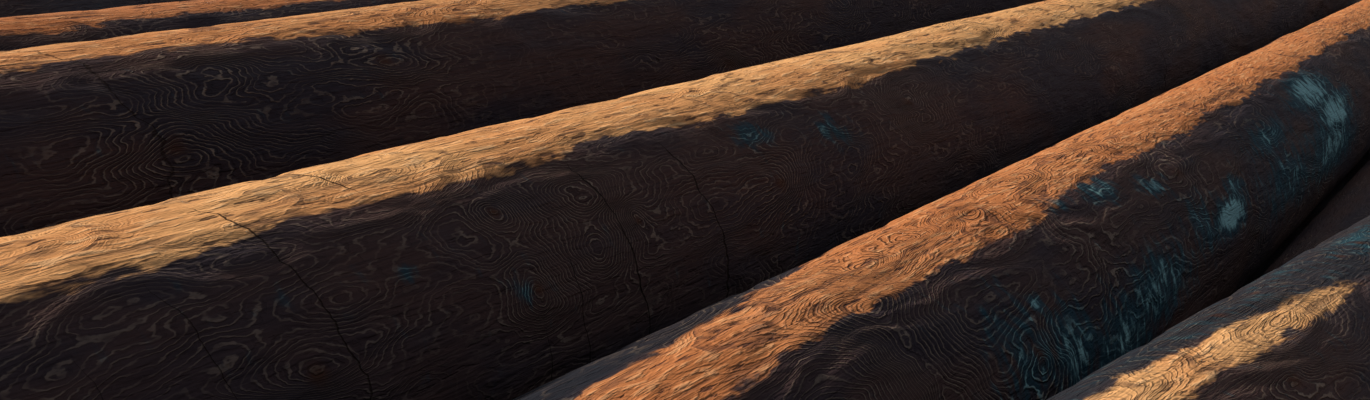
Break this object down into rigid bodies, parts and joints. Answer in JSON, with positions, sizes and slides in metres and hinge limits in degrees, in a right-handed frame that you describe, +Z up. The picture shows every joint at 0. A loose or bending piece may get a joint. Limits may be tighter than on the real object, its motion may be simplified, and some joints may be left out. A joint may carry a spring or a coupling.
{
  "type": "stack of logs",
  "caption": "Layered stack of long peeled round logs, shaved brown treated wood with sawn ends, a thinner log lying askew at the front of the top layer.",
  "frame": {"origin": "centre of the bounding box in plan, on the floor that the bottom layer lies on", "axes": "+X along the logs from the near ends to the far ends, +Y from the front of the stack to the back, +Z up"},
  "size_m": [5.022, 2.8294, 0.7538],
  "materials": {
    "peeled_wood": "satin"
  },
  "bodies": {
    "root": {"bottom_log_1": "peeled_wood", "bottom_log_2": "peeled_wood", "bottom_log_3": "peeled_wood", "bottom_log_4": "peeled_wood", "bottom_log_5": "peeled_wood", "bottom_log_6": "peeled_wood", "bottom_log_7": "peeled_wood", "bottom_log_8": "peeled_wood", "bottom_log_9": "peeled_wood", "middle_log_1": "peeled_wood", "middle_log_2": "peeled_wood", "middle_log_3": "peeled_wood", "middle_log_4": "peeled_wood", "middle_log_5": "peeled_wood", "middle_log_6": "peeled_wood", "middle_log_7": "peeled_wood", "middle_log_8": "peeled_wood", "top_log_1": "peeled_wood", "top_log_2": "peeled_wood", "top_log_3": "peeled_wood", "top_log_4": "peeled_wood", "top_log_5": "peeled_wood", "top_log_6": "peeled_wood"}
  },
  "joints": []
}
